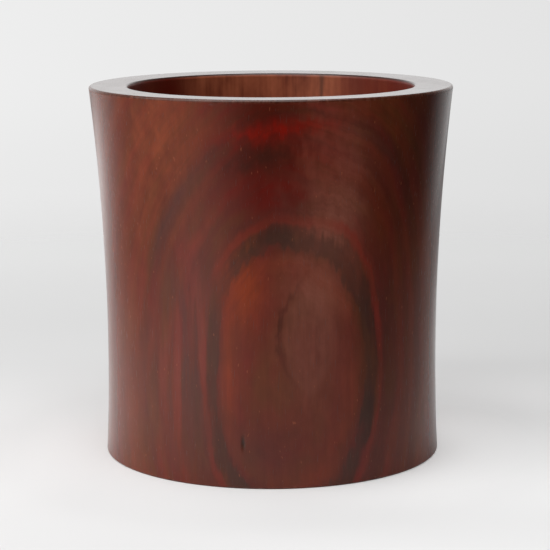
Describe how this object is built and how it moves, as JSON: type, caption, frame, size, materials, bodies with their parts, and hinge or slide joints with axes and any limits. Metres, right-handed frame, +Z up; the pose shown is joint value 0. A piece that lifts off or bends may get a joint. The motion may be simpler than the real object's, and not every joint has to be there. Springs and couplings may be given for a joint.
{
  "type": "brush pot",
  "caption": "Waisted round brush pot turned from one block of dense dark rosewood, with a thick flat rim, a straight well and a plugged floor.",
  "frame": {"origin": "centre of the foot ring, on the table", "axes": "+Z up along the turning axis; -Y is the side with the oval ring figure, which faces the camera"},
  "size_m": [0.1571, 0.1572, 0.16],
  "materials": {
    "body_wood": "waxed and burnished rosewood, satin to semi-gloss, red-brown with dark ring figure",
    "plug_wood": "waxed rosewood, satin, a little darker and plainer than the body"
  },
  "bodies": {
    "root": {"body": "body_wood", "base_plug": "plug_wood"}
  },
  "joints": []
}
